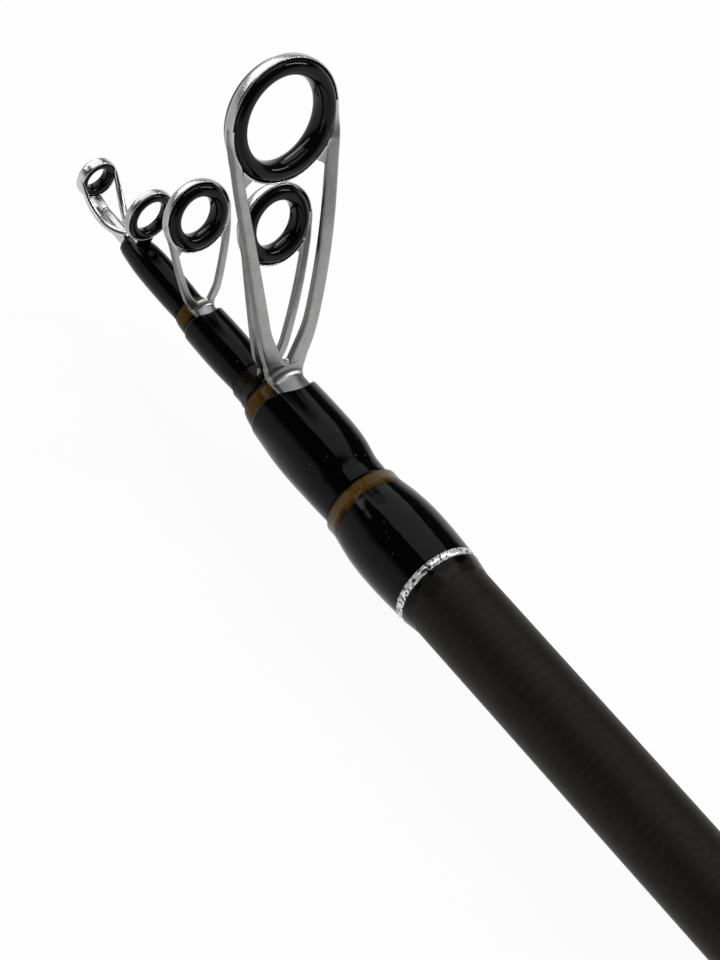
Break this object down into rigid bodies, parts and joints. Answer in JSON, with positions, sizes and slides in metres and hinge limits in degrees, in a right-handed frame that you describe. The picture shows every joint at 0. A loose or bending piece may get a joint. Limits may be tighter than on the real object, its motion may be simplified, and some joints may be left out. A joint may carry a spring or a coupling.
{
  "type": "telescopic fishing rod",
  "caption": "Closed telescopic fishing rod with nested tapered sections, ceramic-ringed stamped guides, a screw reel seat and foam grips",
  "frame": {"origin": "centre of the butt cap's end face", "axes": "+X along the rod to the tip, +Z to the side that the line guides stand on"},
  "size_m": [0.6387, 0.026, 0.0726],
  "materials": {
    "carbon": "satin dark brown blank",
    "black_wrap": "glossy epoxy over black thread",
    "amber_thread": "glossy epoxy over amber thread",
    "silver_thread": "bright cross-wound metallic thread under epoxy",
    "steel": "tumbled stainless sheet",
    "ceramic": "polished black",
    "foam": "fine closed-cell foam",
    "aluminium": "satin",
    "black_plastic": "satin moulded",
    "rubber": "matt"
  },
  "bodies": {
    "butt_section": {"butt_blank": "carbon", "butt_wrap": "black_wrap", "butt_mouth_band": "amber_thread", "silver_trim_band": "silver_thread", "butt_ferrule": "aluminium", "rear_grip": "foam", "rear_trim_ring": "aluminium", "reel_seat_body": "black_plastic", "fixed_hood": "aluminium", "front_trim_ring": "aluminium", "fore_grip": "foam", "winding_check": "aluminium"},
    "sliding_hood": {"sliding_hood": "aluminium"},
    "locking_nut": {"locking_nut": "black_plastic"},
    "cushion": {"cushion_pad": "rubber"},
    "cap": {"butt_cap": "black_plastic", "cap_gasket": "rubber"},
    "section_2": {"section_2_blank": "carbon", "section_2_wrap": "black_wrap", "section_2_mouth_band": "amber_thread", "guide_1_frame": "steel", "guide_1_ring": "ceramic"},
    "section_3": {"section_3_blank": "carbon", "section_3_wrap": "black_wrap", "section_3_mouth_band": "amber_thread", "guide_3_frame": "steel", "guide_3_ring": "ceramic"},
    "floating_guide": {"float_sleeve": "carbon", "float_wrap": "amber_thread", "guide_2_frame": "steel", "guide_2_ring": "ceramic"},
    "section_4": {"section_4_blank": "carbon", "section_4_wrap": "black_wrap", "guide_4_frame": "steel", "guide_4_ring": "ceramic"},
    "tip_section": {"tip_blank": "carbon", "tip_top_frame": "steel", "tip_top_ring": "ceramic"}
  },
  "joints": [
    {"name": "section_2_slide", "type": "slide", "parent": "butt_section", "child": "section_2", "axis": [1, 0, 0], "range_m": [0, 0.4715]},
    {"name": "section_3_slide", "type": "slide", "parent": "section_2", "child": "section_3", "axis": [1, 0, 0], "range_m": [0, 0.4935]},
    {"name": "section_4_slide", "type": "slide", "parent": "section_3", "child": "section_4", "axis": [1, 0, 0], "range_m": [0, 0.516]},
    {"name": "tip_slide", "type": "slide", "parent": "section_4", "child": "tip_section", "axis": [1, 0, 0], "range_m": [0, 0.5335]},
    {"name": "float_slide", "type": "slide", "parent": "section_3", "child": "floating_guide", "axis": [-1, 0, 0], "range_m": [0, 0.178]},
    {"name": "hood_slide", "type": "slide", "parent": "butt_section", "child": "sliding_hood", "axis": [-1, 0, 0], "range_m": [0, 0.02]},
    {"name": "nut_turn", "type": "hinge", "parent": "sliding_hood", "child": "locking_nut", "pos_m": [0.287, 0, 0], "axis": [-1, 0, 0], "range_deg": [0, 3610]},
    {"name": "cap_slide", "type": "slide", "parent": "butt_section", "child": "cushion", "axis": [-1, 0, 0], "range_m": [0, 0.012]},
    {"name": "cap_turn", "type": "hinge", "parent": "cushion", "child": "cap", "pos_m": [0.0045, 0, 0], "axis": [-1, 0, 0], "range_deg": [0, 2170]}
  ],
  "couplings": [
    {"joint": "float_slide", "follows": "section_3_slide", "ratio": 0.36},
    {"joint": "nut_turn", "follows": "hood_slide", "rad_per_m": 3141.6},
    {"joint": "cap_turn", "follows": "cap_slide", "rad_per_m": 3141.6}
  ]
}
